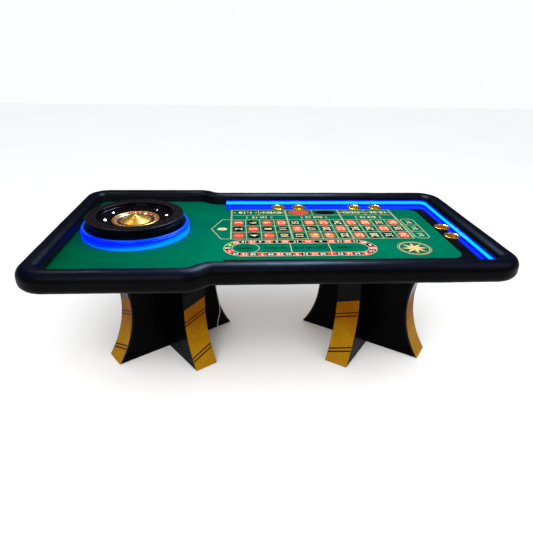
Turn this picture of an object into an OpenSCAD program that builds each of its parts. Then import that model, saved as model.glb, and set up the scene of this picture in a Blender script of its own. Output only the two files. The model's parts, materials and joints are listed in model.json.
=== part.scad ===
// Roulette table with a wide wheel end, a padded rail, a lit wall and two cross-shaped pedestals.
// Millimetres. +X runs along the table away from the wheel, +Y to the players' long side, +Z up.
// The origin is on the floor, under the middle of the table.

/* [Table] */
// Length over the padded rail
table_l = 2576; // [2536:4:2636]
// Depth of the player section over the padded rail
player_w = 1318; // [1298:4:1350]
// Depth of the wheel end over the padded rail
wheel_end_w = 1462; // [1438:4:1482]
// Height of the playing felt above the floor
play_z = 765; // [755:5:780]
// Outer radius of the table's corners, seen from above
corner_r = 156; // [150:2:160]

/* [Rail] */
// Width of the padded rail
rail_w = 104; // [103:1:108]
// Height of the padded rail
rail_h = 114; // [112:1:118]
// Height of the rail's crest above the felt
rail_rise = 71; // [70:1:74]

/* [Wheel] */
// Distance of the wheel's axis from the middle of the table
wheel_x = -826; // [-850:1:-800]
// Sideways place of the wheel's axis
wheel_y = 32; // [0:1:50]
// Number of pockets
pockets = 37; // [36:1:38]

/* [Pedestals] */
// Distance of each pedestal's axis from the middle of the table
pedestal_x = 645; // [620:5:670]
// Width of each fin of the cross
fin_w = 145; // [140:1:150]
// Reach of the fins at half height
waist_r = 305; // [295:1:315]
// Reach of the fins at the floor
foot_r = 420; // [410:1:430]
// Turn of each cross from the table's diagonals, towards the middle of the table
cross_turn = 9.6; // [0:0.1:12]

/* [Hidden] */
$fn = 96;

// Plan of the table
half_l = table_l / 2;
half_player = player_w / 2;
half_wheel_end = wheel_end_w / 2;
half_rail = rail_w / 2;
// The rail steps in from the wheel end to the player section with two equal arcs.
step_x0 = -480;
step_x1 = -320;
step_run = step_x1 - step_x0;
step_rise = half_wheel_end - half_player;
step_angle = 2 * atan(step_rise / step_run);
step_r = step_run / (2 * sin(step_angle));
wall_gap = 0.5;

// Heights
rail_top = play_z + rail_rise;
rail_bottom = rail_top - rail_h;
felt_t = 3;
board_t = 10;
deck_t = 18;
felt_z = play_z - felt_t;
board_z = felt_z - board_t;
deck_z = board_z - deck_t;
beam_h = 60;
beam_z = deck_z - beam_h;
core_top = play_z + 36;
core_bottom = rail_bottom + 2;
core_outer = 26;

// Edge of the layout on the lit sides
shelf_x0 = -284;
felt_x1 = 1062;
felt_y0 = -412;
felt_y1 = 440;
felt_back_r = 85;
felt_front_r = 70;

// Cups: two pairs on the long side and one pair at the far end
cup_flange_r = 50;
cup_body_r = 41;
cup_depth = 68;
cup_long_side_y = 496;
cup_end_x = 1128;
CUPS = [
    [88, cup_long_side_y], [236, cup_long_side_y], [640, cup_long_side_y], [792, cup_long_side_y],
    [cup_end_x, 80], [cup_end_x, -78]
];

// Lit wall
led_h = 34;
led_depth = 10;
led_z = core_top - led_h;

// Frame under the deck
beam_w = 40;
side_beam_y = 400;
side_beam_x0 = -1080;
side_beam_x1 = 1060;
pedestal_beam_dx = 100;
CROSS_BEAMS = [
    -1030, -pedestal_x - pedestal_beam_dx, -pedestal_x + pedestal_beam_dx,
    pedestal_x - pedestal_beam_dx, pedestal_x + pedestal_beam_dx, 1030
];
wire_r = 3;
wire_z = deck_z - 6;
rail_wire_x = -262;
rail_wire_y = 549;
wheel_wire_x = -1096;
wheel_wire_y = 90;

// Wheel
light_r = 321;
light_base_t = 4;
light_z = play_z + light_base_t;
light_wall_h = 43;
light_top_z = light_z + 45;
light_top_t = 8;
rim_z = 877;
rotor_r = 141.5;
bowl_bore_r = 145;
spindle_r = 6;
bearing_z = [812, 840];
bearing_h = 10;
ball_r = 3;
ball_track_r = 11;
balls = 9;

// Pedestals
glide_t = 3;
plate_t = 12;
pedestal_top = beam_z - plate_t;
waist_z = 360;
arc_sag = foot_r - waist_r;
arc_r = (waist_z * waist_z + arc_sag * arc_sag) / (2 * arc_sag);
face_t = 2;
end_panel_t = 12;
side_panel_t = 15;
gold_left_z = 374;
gold_right_z = 431;
bolt_r = 5;

// The power lead hangs from the driver, follows a fin's foot and ends in a coil between two fins.
lead_d = 5;
LEAD_HANG = [
    [-390, 76, 684], [-390, 76, 660], [-388, 78, 600], [-382, 82, 530], [-374, 87, 450],
    [-363, 93, 370], [-353, 97, 310], [-343, 99, 245], [-336, 100, 195], [-333, 101, 155],
    [-336, 101, 120], [-345, 101, 80], [-351, 101, 45], [-355, 101, 20], [-362, 100, 7],
    [-376, 93, 3], [-394, 81, 3], [-413, 67, 3], [-428, 48, 3], [-436, 25, 3], [-439, 0, 3],
    [-439, -30, 3]
];
coil_x = -464;
coil_y = -30;
coil_in_r = 22.5;
coil_out_r = 27.5;
coil_h = 21;

// ---------- helpers ----------

function arc(cx, cy, r, a0, a1, n) = [for (i = [0:n]) [cx + r * cos(a0 + (a1 - a0) * i / n),
                                                        cy + r * sin(a0 + (a1 - a0) * i / n)]];

function flipped(points) = [for (i = [len(points) - 1:-1:0]) [points[i][0], -points[i][1]]];

// Near half of the table's outline, moved in from the outer edge, from the wheel end to the far end
function near_edge(inset) = concat(
    arc(-half_l + corner_r, -half_wheel_end + corner_r, corner_r - inset, 180, 270, 10),
    arc(step_x0, -half_wheel_end + half_rail + step_r, step_r + half_rail - inset, -90, -90 + step_angle, 10),
    arc(step_x1, -half_player + half_rail - step_r, step_r - half_rail + inset, 90 + step_angle, 90, 10),
    arc(half_l - corner_r, -half_player + corner_r, corner_r - inset, -90, 0, 10));

module table_plan(inset) {
    polygon(concat(near_edge(inset), flipped(near_edge(inset))));
}

// Everything that the printed layout covers; the rest of the well is the cup shelf
module layout_field(grow) {
    polygon(concat(
        [[-2000, -1000], [shelf_x0 + grow, -1000], [shelf_x0 + grow, felt_y0 - grow]],
        arc(felt_x1 + grow - felt_front_r, felt_y0 - grow + felt_front_r, felt_front_r, -90, 0, 12),
        arc(felt_x1 + grow - felt_back_r, felt_y1 + grow - felt_back_r, felt_back_r, 0, 90, 12),
        [[shelf_x0 + grow, felt_y1 + grow], [shelf_x0 + grow, 1000], [-2000, 1000]]));
}

// A profile drawn with x outward from the rail's middle and y up, run straight to a point
module run_to(end, length, heading) {
    translate(end) rotate([90, 0, heading - 90]) linear_extrude(length) children();
}

module bend_out(centre, r, start, sweep) {
    translate(centre) rotate([0, 0, start]) rotate_extrude(angle = sweep) translate([r, 0]) children();
}

module bend_in(centre, r, start, sweep) {
    translate(centre) rotate([0, 0, start]) rotate_extrude(angle = sweep) translate([r, 0])
        mirror([1, 0]) children();
}

module along_front() {
    y_wide = -half_wheel_end + half_rail;
    y_narrow = -half_player + half_rail;
    run_to([step_x0, y_wide, 0], step_x0 + half_l - corner_r, 0) children();
    bend_out([step_x0, y_wide + step_r, 0], step_r, -90, step_angle) children();
    bend_in([step_x1, y_narrow - step_r, 0], step_r, 90, step_angle) children();
    run_to([half_l - corner_r, y_narrow, 0], half_l - corner_r - step_x1, 0) children();
}

module along_end(side, half_depth) {
    straight = 2 * (half_depth - corner_r);
    mirror([side < 0 ? 1 : 0, 0, 0]) {
        run_to([half_l - half_rail, half_depth - corner_r, 0], straight, 90) children();
        for (end = [-1, 1])
            bend_out([half_l - corner_r, end * (half_depth - corner_r), 0], corner_r - half_rail,
                     end < 0 ? -90 : 0, 90) children();
    }
}

// Inside of the lit wall: the players' long side, the far corner and the far end
module along_lit_wall() {
    y_wall = half_player - half_rail;
    run_to([shelf_x0, y_wall, 0], half_l - corner_r - shelf_x0, 180) children();
    bend_out([half_l - corner_r, half_player - corner_r, 0], corner_r - half_rail, 0, 90) children();
    run_to([half_l - half_rail, half_player - corner_r, 0], 2 * (half_player - corner_r), 90) children();
}

// ---------- padded rail ----------

module rail_outline() {
    r_outer = 51;
    r_inner = 36;
    r_low = 38;
    polygon(concat(
        [[-half_rail, rail_bottom]],
        arc(half_rail - r_low, rail_bottom + r_low, r_low, -90, 0, 8),
        arc(half_rail - r_outer, rail_top - r_outer, r_outer, 0, 90, 12),
        arc(-half_rail + r_inner, rail_top - r_inner, r_inner, 90, 180, 10)));
}

glue_line = 0.12;

module rail_pad_section() {
    difference() {
        rail_outline();
        translate([-half_rail - 1, rail_bottom - 1])
            square([half_rail + 1 + core_outer + glue_line, core_top - rail_bottom + 1]);
    }
}

module rail_core_section() {
    translate([-half_rail, core_bottom]) square([half_rail + core_outer, core_top - core_bottom]);
}

module rail_pad_front() { color([0.03, 0.03, 0.04]) along_front() rail_pad_section(); }
module rail_pad_back() { color([0.03, 0.03, 0.04]) mirror([0, 1, 0]) along_front() rail_pad_section(); }
module rail_pad_left() { color([0.03, 0.03, 0.04]) along_end(-1, half_wheel_end) rail_pad_section(); }
module rail_pad_right() { color([0.03, 0.03, 0.04]) along_end(1, half_player) rail_pad_section(); }
module rail_core_front() { color([0.05, 0.05, 0.06]) along_front() rail_core_section(); }
module rail_core_back() { color([0.05, 0.05, 0.06]) mirror([0, 1, 0]) along_front() rail_core_section(); }
module rail_core_left() { color([0.05, 0.05, 0.06]) along_end(-1, half_wheel_end) rail_core_section(); }
module rail_core_right() { color([0.05, 0.05, 0.06]) along_end(1, half_player) rail_core_section(); }

// Steel angles that hold the rail to the deck, and their screws
bracket_leg = 36;
bracket_t = 3;
bracket_h = deck_z - core_bottom;
BRACKETS = [
    for (x = [-960, -700, -100, 350, 900]) for (side = [-1, 1])
        [x, side * ((x < step_x0 ? half_wheel_end : half_player) - rail_w), side * 90],
    for (y = [-400, 400]) [-half_l + rail_w, y, 180],
    for (y = [-300, 300]) [half_l - rail_w, y, 0]
];

module at_brackets() {
    for (b = BRACKETS) translate([b[0], b[1], deck_z]) rotate([0, 0, b[2]]) children();
}

module rail_brackets() {
    color([0.6, 0.6, 0.62]) at_brackets() {
        difference() {
            union() {
                translate([-bracket_leg, -20, -bracket_t]) cube([bracket_leg, 40, bracket_t]);
                translate([-bracket_t, -20, -bracket_h]) cube([bracket_t, 40, bracket_h - bracket_t]);
            }
            for (y = [-11, 11]) translate([-24, y, -bracket_t - 1]) cylinder(h = bracket_t + 2, r = 2.5);
        }
    }
}

module rail_screws() {
    color([0.75, 0.75, 0.78]) at_brackets() for (y = [-11, 11]) translate([-24, y, -bracket_t]) {
        translate([0, 0, -2.5]) cylinder(h = 2.5, r = 4.5);
        cylinder(h = bracket_t + 10, r = 2);
    }
}

// ---------- deck, layout and shelf ----------

module screw_holes() {
    at_brackets() for (y = [-11, 11]) translate([-24, y, -1]) cylinder(h = 12, r = 2);
}

module cup_holes(z, h) {
    for (c = CUPS) translate([c[0], c[1], z - 1]) cylinder(h = h + 2, r = cup_body_r + 1);
}

module wire_holes(z, h) {
    translate([rail_wire_x, rail_wire_y, z - 1]) cylinder(h = h + 2, r = wire_r + 1);
    translate([wheel_wire_x, wheel_wire_y, z - 1]) cylinder(h = h + 2, r = wire_r + 1);
}

// Boards of the deck as [x from, x to, y from, y to]. The spaces between the strips take the cups.
deck_split_x = -400;
deck_strip_x = 1080;
deck_strip_y = 450;
deck_seam = 0.5;
cup_gap = 48;
DECK_BOARDS = [
    [-2000, deck_split_x, -1000, 1000],
    [deck_split_x, deck_strip_x, -1000, deck_strip_y],
    [deck_split_x, CUPS[0][0] - cup_gap, deck_strip_y, 1000],
    [CUPS[1][0] + cup_gap, CUPS[2][0] - cup_gap, deck_strip_y, 1000],
    [CUPS[3][0] + cup_gap, 2000, deck_strip_y, 1000],
    [deck_strip_x, 2000, CUPS[4][1] + cup_gap, deck_strip_y],
    [deck_strip_x, 2000, -1000, CUPS[5][1] - cup_gap]
];

module deck_board() {
    color([0.62, 0.47, 0.30]) difference() {
        translate([0, 0, deck_z]) linear_extrude(deck_t) for (b = DECK_BOARDS) intersection() {
            table_plan(rail_w + wall_gap);
            translate([b[0] + deck_seam / 2, b[2] + deck_seam / 2])
                square([b[1] - b[0] - deck_seam, b[3] - b[2] - deck_seam]);
        }
        wire_holes(deck_z, deck_t);
        screw_holes();
    }
}

module layout_board() {
    color([0.55, 0.42, 0.28]) difference() {
        translate([0, 0, board_z]) linear_extrude(board_t) intersection() {
            table_plan(rail_w + wall_gap);
            layout_field(0);
        }
        wire_holes(board_z, board_t);
    }
}

module layout_felt() {
    color([0.0, 0.42, 0.33]) difference() {
        translate([0, 0, felt_z]) linear_extrude(felt_t) intersection() {
            table_plan(rail_w + wall_gap);
            layout_field(0);
        }
        wire_holes(felt_z, felt_t);
    }
}

module cup_shelf() {
    color([0.02, 0.02, 0.03]) difference() {
        translate([0, 0, board_z]) linear_extrude(board_t) difference() {
            table_plan(rail_w + wall_gap);
            layout_field(0.5);
        }
        cup_holes(board_z, board_t);
        wire_holes(board_z, board_t);
    }
}

module beam_wire_holes() {
    translate([rail_wire_x, 0, wire_z]) rotate([-90, 0, 0]) cylinder(h = 500, r = wire_r + 1);
    translate([-1150, wheel_wire_y, wire_z]) rotate([0, 90, 0]) cylinder(h = 700, r = wire_r + 1);
}

module frame_side_beams() {
    color([0.66, 0.52, 0.34]) difference() {
        for (side = [-1, 1])
            translate([side_beam_x0, side * side_beam_y - (side < 0 ? beam_w : 0), beam_z])
                cube([side_beam_x1 - side_beam_x0, beam_w, beam_h]);
        beam_wire_holes();
    }
}

module frame_cross_beams() {
    color([0.66, 0.52, 0.34]) difference() {
        for (x = CROSS_BEAMS)
            translate([x - beam_w / 2, -side_beam_y, beam_z]) cube([beam_w, 2 * side_beam_y, beam_h]);
        beam_wire_holes();
        at_bolts() cylinder(h = 41, r = bolt_r + 0.1);
    }
}

// ---------- cups ----------

module cup_holder(i) {
    wall = 1.2;
    lip_z = felt_z + 3;
    color([0.80, 0.58, 0.18]) translate([CUPS[i][0], CUPS[i][1], 0]) rotate_extrude()
        polygon([
            [0, felt_z - cup_depth], [cup_body_r - 5, felt_z - cup_depth],
            [cup_body_r, felt_z - cup_depth + 5], [cup_body_r, felt_z],
            [cup_flange_r, felt_z], [cup_flange_r, lip_z - 1.2], [cup_flange_r - 1.2, lip_z],
            [cup_body_r + 2, lip_z], [cup_body_r - wall, lip_z - 2.5],
            [cup_body_r - wall, felt_z - cup_depth + 6.5], [cup_body_r - 6.5, felt_z - cup_depth + wall],
            [0, felt_z - cup_depth + wall]
        ]);
}

// ---------- lit wall ----------

module lit_section(depth0, depth1, z0, z1) {
    translate([-half_rail - depth1, z0]) square([depth1 - depth0, z1 - z0]);
}

module led_channel() {
    color([0.7, 0.7, 0.72]) along_lit_wall() difference() {
        lit_section(0, led_depth, led_z, led_z + led_h);
        lit_section(2, led_depth + 1, led_z + 2, led_z + led_h - 2);
    }
}

// One strip of lights in the wall channel and one round the wheel's light core
module led_tapes() {
    color([0.9, 0.9, 0.9]) {
        along_lit_wall() lit_section(2, 4, led_z + 11, led_z + 23);
        at_wheel() ring_of(300, 301.5, light_z + 16, 12);
    }
}

module led_diffuser() {
    color([0.0, 0.75, 1.0]) along_lit_wall()
        lit_section(led_depth - 2, led_depth, led_z + 2, led_z + led_h - 2);
}

module led_driver() {
    color([0.1, 0.1, 0.1]) translate([-405, 20, deck_z - 32]) difference() {
        cube([130, 76, 32]);
        translate([15, 56, -1]) cylinder(h = 3, r = 7.5);
        translate([rail_wire_x + 405 - 14, 0, 26]) cube([20, 80, 20]);
    }
}

module lead_gland() {
    color([0.1, 0.1, 0.1]) translate([-390, 76, 684]) difference() {
        cylinder(h = 20, r1 = 4.5, r2 = 7.5);
        translate([0, 0, -1]) cylinder(h = 22, r = lead_d / 2);
    }
}

// Wires under the deck, from the driver to the lit wall and to the ring under the wheel
module led_feed_wires() {
    color([0.85, 0.1, 0.1]) {
        translate([rail_wire_x, 20, wire_z]) rotate([-90, 0, 0]) cylinder(h = rail_wire_y - 20, r = wire_r);
        translate([rail_wire_x, rail_wire_y, wire_z]) {
            sphere(r = wire_r);
            cylinder(h = led_z - wire_z, r = wire_r);
        }
        translate([wheel_wire_x, wheel_wire_y, wire_z]) {
            sphere(r = wire_r);
            rotate([0, 90, 0]) cylinder(h = -405 - wheel_wire_x, r = wire_r);
            cylinder(h = light_z - wire_z + 4, r = wire_r);
        }
    }
}

// ---------- power lead ----------

function unit(v) = v / norm(v);
function heading_at(pts, i) = unit(pts[min(i + 1, len(pts) - 1)] - pts[max(i - 1, 0)]);
// Sideways direction of each ring: the last one's, turned as little as the path turns
function side_at(pts, i) = i == 0 ? [1, 0, 0]
    : let (t = heading_at(pts, i), s = side_at(pts, i - 1)) unit(s - (s * t) * t);
function curve_point(a, b, c, d, t) = 0.5 * ((2 * b) + (c - a) * t
    + (2 * a - 5 * b + 4 * c - d) * t * t + (3 * b - a - 3 * c + d) * t * t * t);
function smooth_path(p, steps) = concat([for (i = [0:len(p) - 2]) for (k = [0:steps - 1])
    curve_point(p[max(i - 1, 0)], p[i], p[i + 1], p[min(i + 2, len(p) - 1)], k / steps)],
    [p[len(p) - 1]]);

module swept_tube(pts, d, sides) {
    n = len(pts);
    rings = [for (i = [0:n - 1]) let (t = heading_at(pts, i), s = side_at(pts, i), u = cross(t, s))
        for (k = [0:sides - 1]) pts[i] + d / 2 * (cos(360 * k / sides) * s + sin(360 * k / sides) * u)];
    skin = [for (i = [0:n - 2]) for (k = [0:sides - 1]) let (m = (k + 1) % sides)
        [i * sides + k, (i + 1) * sides + k, (i + 1) * sides + m, i * sides + m]];
    polyhedron(rings, concat(skin, [[for (k = [0:sides - 1]) k]],
                             [[for (k = [sides - 1:-1:0]) (n - 1) * sides + k]]));
}

module power_lead() {
    color([0.8, 0.8, 0.8]) swept_tube(smooth_path(LEAD_HANG, 3), lead_d, 8);
}

module power_lead_coil() {
    color([0.8, 0.8, 0.8]) translate([coil_x, coil_y, 0.3]) rotate_extrude()
        translate([coil_in_r, 0]) square([coil_out_r - coil_in_r, coil_h]);
}

module power_plug() {
    color([0.05, 0.05, 0.05]) translate([coil_x, coil_y - 35, 6]) rotate([0, -90, 0]) {
        cylinder(h = 26, r = 5);
        translate([0, 0, 26]) cylinder(h = 9, r = 2.75);
        translate([0, 0, -8]) cylinder(h = 8, r1 = 2.8, r2 = 4);
    }
}

// ---------- ring of light under the wheel ----------

module at_wheel() {
    translate([wheel_x, wheel_y, 0]) children();
}

module ring_of(r0, r1, z0, h) {
    translate([0, 0, z0]) difference() {
        cylinder(h = h, r = r1);
        translate([0, 0, -1]) cylinder(h = h + 2, r = r0);
    }
}

module wheel_light_base() {
    color([0.1, 0.1, 0.12]) difference() {
        at_wheel() translate([0, 0, play_z]) cylinder(h = light_base_t, r = light_r - 1);
        wire_holes(play_z, light_base_t);
    }
}
module wheel_light_core() { color([0.8, 0.8, 0.82]) at_wheel() ring_of(290, 300, light_z, 45); }
module wheel_light_wall() { color([0.0, 0.35, 1.0]) at_wheel() ring_of(light_r - 9, light_r, light_z, light_wall_h); }
module wheel_light_top() { color([0.1, 0.5, 1.0]) at_wheel() ring_of(279, light_r - 4, light_top_z, light_top_t); }

// ---------- wheel ----------

module wheel_bowl() {
    color([0.10, 0.07, 0.08]) at_wheel() rotate_extrude() polygon([
        [36, light_z], [262, light_z], [262, 788], [270, 796], [270, 806], [277, 812], [277, 830],
        [283, 836], [283, 850], [289, 857], [290, 864], [290, 872], [288, 876], [284, rim_z],
        [230, rim_z], [227, 876], [226, 873], [226, 866], [230, 862], [230, 857], [224, 853],
        [147, 843.5], [bowl_bore_r, 841], [bowl_bore_r, 784], [36, 784]
    ]);
}

// Diamond stops on the bowl's slope, by turns along it and across it
module ball_deflectors() {
    slope = atan(9.5 / 77);
    color([0.85, 0.85, 0.88]) at_wheel() for (i = [0:7]) rotate([0, 0, 13 + 45 * i])
        translate([182, 0, 843.5 + (182 - 147) * tan(slope) + 0.15]) rotate([0, -slope, 0])
            scale([i % 2 == 0 ? 1.3 : 0.55, i % 2 == 0 ? 0.55 : 1.3, 1])
                cylinder(h = 5, r1 = 12, r2 = 4, $fn = 4);
}

module wheel_hub_plate() { color([0.5, 0.5, 0.52]) at_wheel() ring_of(spindle_r, 60, 784, 4); }

module wheel_spindle() {
    color([0.75, 0.75, 0.78]) at_wheel() {
        translate([0, 0, 776]) cylinder(h = 80, r = spindle_r);
        translate([0, 0, 776]) cylinder(h = 8, r = 10);
        translate([0, 0, 788]) cylinder(h = 6, r = 16);
        translate([0, 0, 794]) cylinder(h = bearing_z[0] - 794, r = 8.5);
        translate([0, 0, bearing_z[0] + bearing_h])
            cylinder(h = bearing_z[1] - bearing_z[0] - bearing_h, r = 8.5);
        translate([0, 0, 851]) cylinder(h = 5, r = 9);
    }
}

module race(r0, r1) {
    for (z = bearing_z) difference() {
        ring_of(r0, r1, z, bearing_h);
        translate([0, 0, z + bearing_h / 2]) rotate_extrude()
            translate([ball_track_r, 0]) circle(r = ball_r + 0.1, $fn = 32);
    }
}

module bearing_inner_rings() { color([0.8, 0.8, 0.82]) at_wheel() race(spindle_r, 9); }
module bearing_outer_rings() { color([0.8, 0.8, 0.82]) at_wheel() race(13, 16); }

module bearing_balls() {
    color([0.9, 0.9, 0.92]) at_wheel() for (z = bearing_z) for (i = [0:balls - 1])
        rotate([0, 0, 360 * i / balls]) translate([ball_track_r, 0, z + bearing_h / 2])
            sphere(r = ball_r, $fn = 24);
}

// ---------- rotor ----------

module rotor_disc() {
    color([0.30, 0.16, 0.08]) at_wheel() rotate_extrude() polygon([
        [16, 808], [136, 808], [rotor_r, 812], [rotor_r, 826], [16, 826]
    ]);
}

module rotor_trim_ring() {
    color([0.85, 0.60, 0.15]) at_wheel() rotate_extrude() polygon([
        [130, 826], [rotor_r, 826], [rotor_r, 843], [140, 845], [134, 846], [130, 845]
    ]);
}

module rotor_number_ring() {
    color([0.6, 0.05, 0.05]) at_wheel() rotate_extrude() polygon([
        [112, 826], [130, 826], [130, 843], [112, 836]
    ]);
}

module rotor_pocket_floor() { color([0.12, 0.10, 0.10]) at_wheel() ring_of(92, 112, 826, 3); }

module rotor_frets() {
    color([0.85, 0.85, 0.88]) at_wheel() for (i = [0:pockets - 1]) rotate([0, 0, 360 * (i + 0.5) / pockets])
        translate([92.5, -0.5, 829]) cube([19, 1, 6]);
}

module rotor_cone() {
    color([0.85, 0.60, 0.15]) at_wheel() rotate_extrude() polygon([
        [16, 826], [92, 826], [92, 836], [88, 838], [60, 847.5], [30, 858], [16, 861]
    ]);
}

module rotor_turret() {
    color([0.90, 0.70, 0.25]) at_wheel() rotate_extrude() polygon([
        [0, 861], [18, 861], [18, 864], [12, 867], [6, 869], [4.5, 874], [7, 877], [9, 880.5],
        [7, 884], [3.5, 886], [4, 888], [2.5, 890.5], [0, 891]
    ]);
}

// ---------- pedestals ----------

function cross_angle(side) = -side * (45 - cross_turn);

module at_pedestal(side) {
    translate([side * pedestal_x, 0, 0]) rotate([0, 0, cross_angle(side)]) children();
}

// One arm's side view, both ends hollowed by the same arc, moved in from the end faces
module arm_profile(inset, z0, z1) {
    difference() {
        translate([-foot_r - 10, z0]) square([2 * foot_r + 20, z1 - z0]);
        for (side = [-1, 1])
            translate([side * (waist_r + arc_r), waist_z]) circle(r = arc_r + inset, $fn = 180);
    }
}

// A flat board of one arm, standing on edge
module arm_board(y, t, inset, z0, z1) {
    translate([0, y + t, 0]) rotate([90, 0, 0]) linear_extrude(t) arm_profile(inset, z0, z1);
}

module outside(gap) {
    for (side = [-1, 1]) translate([side > 0 ? gap : -gap - 500, -200, 0]) cube([500, 400, 1000]);
}

// Long boards run right through; short boards butt against them.
module pedestal_panels(side) {
    inset = face_t + end_panel_t;
    edge = fin_w / 2;
    color([0.02, 0.02, 0.02]) at_pedestal(side) {
        for (y = [-edge, edge - side_panel_t]) arm_board(y, side_panel_t, inset, glide_t, pedestal_top);
        rotate([0, 0, 90]) intersection() {
            for (y = [-edge, edge - side_panel_t]) arm_board(y, side_panel_t, inset, glide_t, pedestal_top);
            outside(edge);
        }
    }
}

module end_shell(depth0, depth1, z0, z1) {
    translate([0, fin_w / 2, 0]) rotate([90, 0, 0]) linear_extrude(fin_w) intersection() {
        translate([waist_r - 10, z0]) square([foot_r - waist_r + 60, z1 - z0]);
        translate([waist_r + arc_r, waist_z]) difference() {
            circle(r = arc_r + depth1, $fn = 180);
            circle(r = arc_r + depth0, $fn = 180);
        }
    }
}

// Curved end boards behind the faces, and the base plate inside the cross
module pedestal_frame(side) {
    inner = fin_w / 2 - side_panel_t;
    inset = face_t + end_panel_t;
    color([0.35, 0.27, 0.18]) at_pedestal(side) {
        for (a = [0:90:270]) rotate([0, 0, a])
            end_shell(face_t, face_t + end_panel_t, glide_t, pedestal_top);
        arm_board(-inner, 2 * inner, inset, glide_t, glide_t + plate_t);
        rotate([0, 0, 90]) intersection() {
            arm_board(-inner, 2 * inner, inset, glide_t, glide_t + plate_t);
            outside(fin_w / 2);
        }
    }
}

// Everything below a line that rises to the right across the end face
module under_slant() {
    translate([0, -fin_w / 2, gold_left_z]) rotate([atan((gold_right_z - gold_left_z) / fin_w), 0, 0])
        translate([0, -200, -600]) cube([600, 600, 600]);
}

module pedestal_gold_faces(side) {
    color([0.78, 0.56, 0.12]) at_pedestal(side) for (a = [0:90:270]) rotate([0, 0, a]) intersection() {
        end_shell(0, face_t, glide_t, pedestal_top);
        under_slant();
    }
}

module pedestal_black_faces(side) {
    color([0.03, 0.03, 0.03]) at_pedestal(side) for (a = [0:90:270]) rotate([0, 0, a]) difference() {
        end_shell(0, face_t, glide_t, pedestal_top);
        under_slant();
    }
}

// Bolts where each cross board passes under the two beams beside the pedestal's axis
module at_bolts() {
    for (side = [-1, 1]) for (dx = [-pedestal_beam_dx, pedestal_beam_dx]) for (turn = [0, 90])
        translate([side * pedestal_x + dx, dx * tan(cross_angle(side) + turn), beam_z - 0.01]) children();
}

module pedestal_top_plates() {
    top_r = waist_r + arc_r - sqrt(pow(arc_r, 2) - pow(pedestal_top - waist_z, 2));
    color([0.30, 0.23, 0.16]) difference() {
        for (side = [-1, 1])
            translate([0, 0, pedestal_top]) at_pedestal(side) linear_extrude(plate_t) union() {
                square([2 * top_r, fin_w], center = true);
                square([fin_w, 2 * top_r], center = true);
            }
        at_bolts() translate([0, 0, -plate_t - 1]) cylinder(h = plate_t + 2, r = bolt_r + 0.5);
    }
}

module pedestal_bolts() {
    color([0.6, 0.6, 0.62]) at_bolts() {
        translate([0, 0, -plate_t - 6.4 + 0.01]) cylinder(h = 6.4, r = 9, $fn = 6);
        translate([0, 0, -plate_t]) cylinder(h = plate_t + 40, r = bolt_r);
    }
}

module floor_glides() {
    color([0.15, 0.15, 0.15]) for (side = [-1, 1]) at_pedestal(side) for (a = [0:90:270])
        rotate([0, 0, a]) for (r = [130, 370]) translate([r, 0, 0]) cylinder(h = glide_t, r = 16);
}

// ---------- assembly ----------

deck_board();
frame_side_beams();
frame_cross_beams();
layout_board();
layout_felt();
cup_shelf();
rail_core_front();
rail_core_back();
rail_core_left();
rail_core_right();
rail_pad_front();
rail_pad_back();
rail_pad_left();
rail_pad_right();
rail_brackets();
rail_screws();
led_channel();
led_tapes();
led_diffuser();
cup_holder(0);  // cup_holder_1
cup_holder(1);  // cup_holder_2
cup_holder(2);  // cup_holder_3
cup_holder(3);  // cup_holder_4
cup_holder(4);  // cup_holder_5
cup_holder(5);  // cup_holder_6
led_driver();
led_feed_wires();
lead_gland();
power_lead();
power_lead_coil();
power_plug();
wheel_light_base();
wheel_light_core();
wheel_light_wall();
wheel_light_top();
wheel_bowl();
ball_deflectors();
wheel_hub_plate();
wheel_spindle();
bearing_inner_rings();
bearing_balls();
bearing_outer_rings();
rotor_disc();
rotor_trim_ring();
rotor_number_ring();
rotor_pocket_floor();
rotor_frets();
rotor_cone();
rotor_turret();
pedestal_frame(-1);  // left_pedestal_frame
pedestal_panels(-1);  // left_pedestal_panels
pedestal_gold_faces(-1);  // left_pedestal_gold_faces
pedestal_black_faces(-1);  // left_pedestal_black_faces
pedestal_frame(1);  // right_pedestal_frame
pedestal_panels(1);  // right_pedestal_panels
pedestal_gold_faces(1);  // right_pedestal_gold_faces
pedestal_black_faces(1);  // right_pedestal_black_faces
pedestal_top_plates();
pedestal_bolts();
floor_glides();
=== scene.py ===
# Looks of the roulette table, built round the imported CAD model. Metres, in the CAD's frame.
import json
from math import atan, ceil, cos, degrees, pi, radians, sin, sqrt, tau

import bmesh
import bpy
import numpy as np
from mathutils import Matrix, Vector, noise

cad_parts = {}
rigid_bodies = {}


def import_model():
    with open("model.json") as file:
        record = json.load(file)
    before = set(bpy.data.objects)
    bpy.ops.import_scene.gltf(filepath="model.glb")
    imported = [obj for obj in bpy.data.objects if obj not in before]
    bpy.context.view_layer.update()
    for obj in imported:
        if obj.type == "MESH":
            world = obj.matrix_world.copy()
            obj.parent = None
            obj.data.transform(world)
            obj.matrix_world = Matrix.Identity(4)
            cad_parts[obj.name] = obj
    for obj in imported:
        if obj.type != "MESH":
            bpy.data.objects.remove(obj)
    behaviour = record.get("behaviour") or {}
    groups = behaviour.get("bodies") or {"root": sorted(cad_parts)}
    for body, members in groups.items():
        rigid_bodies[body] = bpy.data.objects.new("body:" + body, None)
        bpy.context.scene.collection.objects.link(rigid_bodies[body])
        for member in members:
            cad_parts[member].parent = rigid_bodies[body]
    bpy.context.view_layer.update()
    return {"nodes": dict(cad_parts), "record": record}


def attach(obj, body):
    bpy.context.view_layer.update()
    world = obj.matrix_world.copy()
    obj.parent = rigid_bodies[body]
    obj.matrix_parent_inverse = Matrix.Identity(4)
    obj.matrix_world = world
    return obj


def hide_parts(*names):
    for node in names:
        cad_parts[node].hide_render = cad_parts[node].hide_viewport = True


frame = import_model()
NODES = frame["nodes"]

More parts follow.
